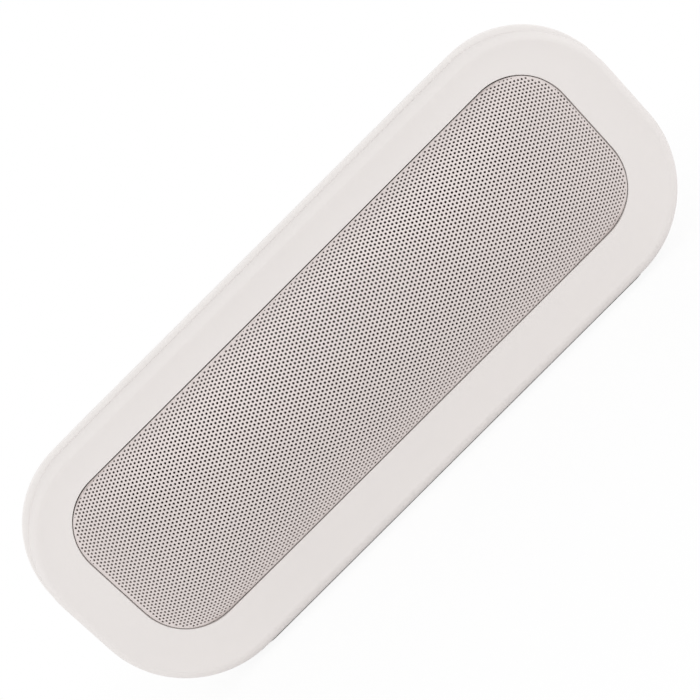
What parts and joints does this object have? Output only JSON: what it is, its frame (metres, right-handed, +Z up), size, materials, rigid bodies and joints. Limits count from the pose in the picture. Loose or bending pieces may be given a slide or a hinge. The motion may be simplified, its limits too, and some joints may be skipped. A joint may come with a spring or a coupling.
{
  "type": "portable wireless speaker",
  "caption": "Compact portable wireless speaker: rounded off-white box with a domed perforated grille in a dished bezel, keys on top, sockets at the back and a rubber foot.",
  "frame": {"origin": "middle of the speaker's outline on the surface that it stands on", "axes": "+X along the length towards the listener's right, -Y the way the grille faces, +Z up"},
  "size_m": [0.208, 0.06, 0.0808],
  "materials": {
    "bezel_plastic": "fine soft-touch matte",
    "case_plastic": "fine matte",
    "key_plastic": "fine matte",
    "grille_metal": "satin paint",
    "cloth": "dull black",
    "inner_plastic": "matt black",
    "foot_rubber": "dull grey",
    "black_rubber": "dull",
    "steel": "zinc plated",
    "ferrite": "dull grey",
    "copper": "enamelled wire",
    "coated_paper": "dull black",
    "spider_cloth": "resin-dipped cloth",
    "cell_wrap": "shrink film",
    "sleeve_film": "shrink film",
    "board_laminate": "solder mask",
    "dark_parts": "matt",
    "pale_nylon": "matt",
    "red_insulation": "satin",
    "clear_plastic": "clear, diffusing"
  },
  "bodies": {
    "housing": {"front_bezel": "bezel_plastic", "grille": "grille_metal", "grille_cloth": "cloth", "baffle": "inner_plastic", "baffle_seal": "black_rubber", "rear_case": "case_plastic", "foot": "foot_rubber", "left_basket": "inner_plastic", "right_basket": "inner_plastic", "left_gasket": "black_rubber", "right_gasket": "black_rubber", "left_top_plate": "steel", "right_top_plate": "steel", "left_magnet": "ferrite", "right_magnet": "ferrite", "left_yoke": "steel", "right_yoke": "steel", "left_surround": "black_rubber", "right_surround": "black_rubber", "left_spider": "spider_cloth", "right_spider": "spider_cloth", "radiator_frame": "inner_plastic", "radiator_surround": "black_rubber", "lower_cell": "cell_wrap", "upper_cell": "cell_wrap", "battery_sleeve": "sleeve_film", "battery_cradle": "inner_plastic", "main_board": "board_laminate", "board_chips": "dark_parts", "radio_module": "steel", "coils": "ferrite", "capacitors": "dark_parts", "board_plugs": "pale_nylon", "charging_socket": "steel", "audio_socket": "inner_plastic", "key_board": "board_laminate", "snap_domes": "steel", "status_lamp": "clear_plastic", "light_guide": "clear_plastic", "case_screws": "steel", "driver_screws": "steel", "board_screws": "steel", "left_lead": "red_insulation", "right_lead": "red_insulation", "battery_lead": "dark_parts", "key_lead": "pale_nylon"},
    "left_diaphragm": {"left_cone": "coated_paper", "left_dust_cap": "coated_paper", "left_voice_coil": "copper"},
    "right_diaphragm": {"right_cone": "coated_paper", "right_dust_cap": "coated_paper", "right_voice_coil": "copper"},
    "passive_radiator": {"radiator_plate": "inner_plastic", "radiator_weight": "steel"},
    "power_key": {"power_key": "key_plastic"},
    "minus_key": {"minus_key": "key_plastic"},
    "play_key": {"play_key": "key_plastic"},
    "plus_key": {"plus_key": "key_plastic"},
    "pair_key": {"pair_key": "key_plastic"}
  },
  "joints": [
    {"name": "left_diaphragm_slide", "type": "slide", "parent": "housing", "child": "left_diaphragm", "axis": [0, -1, 0], "range_m": [-0.0015, 0.0015], "stiffness_N_per_m": 900, "deforming": ["left_surround", "left_spider"]},
    {"name": "right_diaphragm_slide", "type": "slide", "parent": "housing", "child": "right_diaphragm", "axis": [0, -1, 0], "range_m": [-0.0015, 0.0015], "stiffness_N_per_m": 900, "deforming": ["right_surround", "right_spider"]},
    {"name": "passive_radiator_slide", "type": "slide", "parent": "housing", "child": "passive_radiator", "axis": [0, -1, 0], "range_m": [-0.002, 0.002], "stiffness_N_per_m": 700, "deforming": ["radiator_surround"]},
    {"name": "power_key_press", "type": "slide", "parent": "housing", "child": "power_key", "axis": [0, 0, -1], "range_m": [0, 0.0004], "stiffness_N_per_m": 1500, "springref_m": -0.0002, "deforming": ["snap_domes"]},
    {"name": "minus_key_press", "type": "slide", "parent": "housing", "child": "minus_key", "axis": [0, 0, -1], "range_m": [0, 0.0004], "stiffness_N_per_m": 1500, "springref_m": -0.0002, "deforming": ["snap_domes"]},
    {"name": "play_key_press", "type": "slide", "parent": "housing", "child": "play_key", "axis": [0, 0, -1], "range_m": [0, 0.0004], "stiffness_N_per_m": 1500, "springref_m": -0.0002, "deforming": ["snap_domes"]},
    {"name": "plus_key_press", "type": "slide", "parent": "housing", "child": "plus_key", "axis": [0, 0, -1], "range_m": [0, 0.0004], "stiffness_N_per_m": 1500, "springref_m": -0.0002, "deforming": ["snap_domes"]},
    {"name": "pair_key_press", "type": "slide", "parent": "housing", "child": "pair_key", "axis": [0, 0, -1], "range_m": [0, 0.0004], "stiffness_N_per_m": 1500, "springref_m": -0.0002, "deforming": ["snap_domes"]}
  ]
}
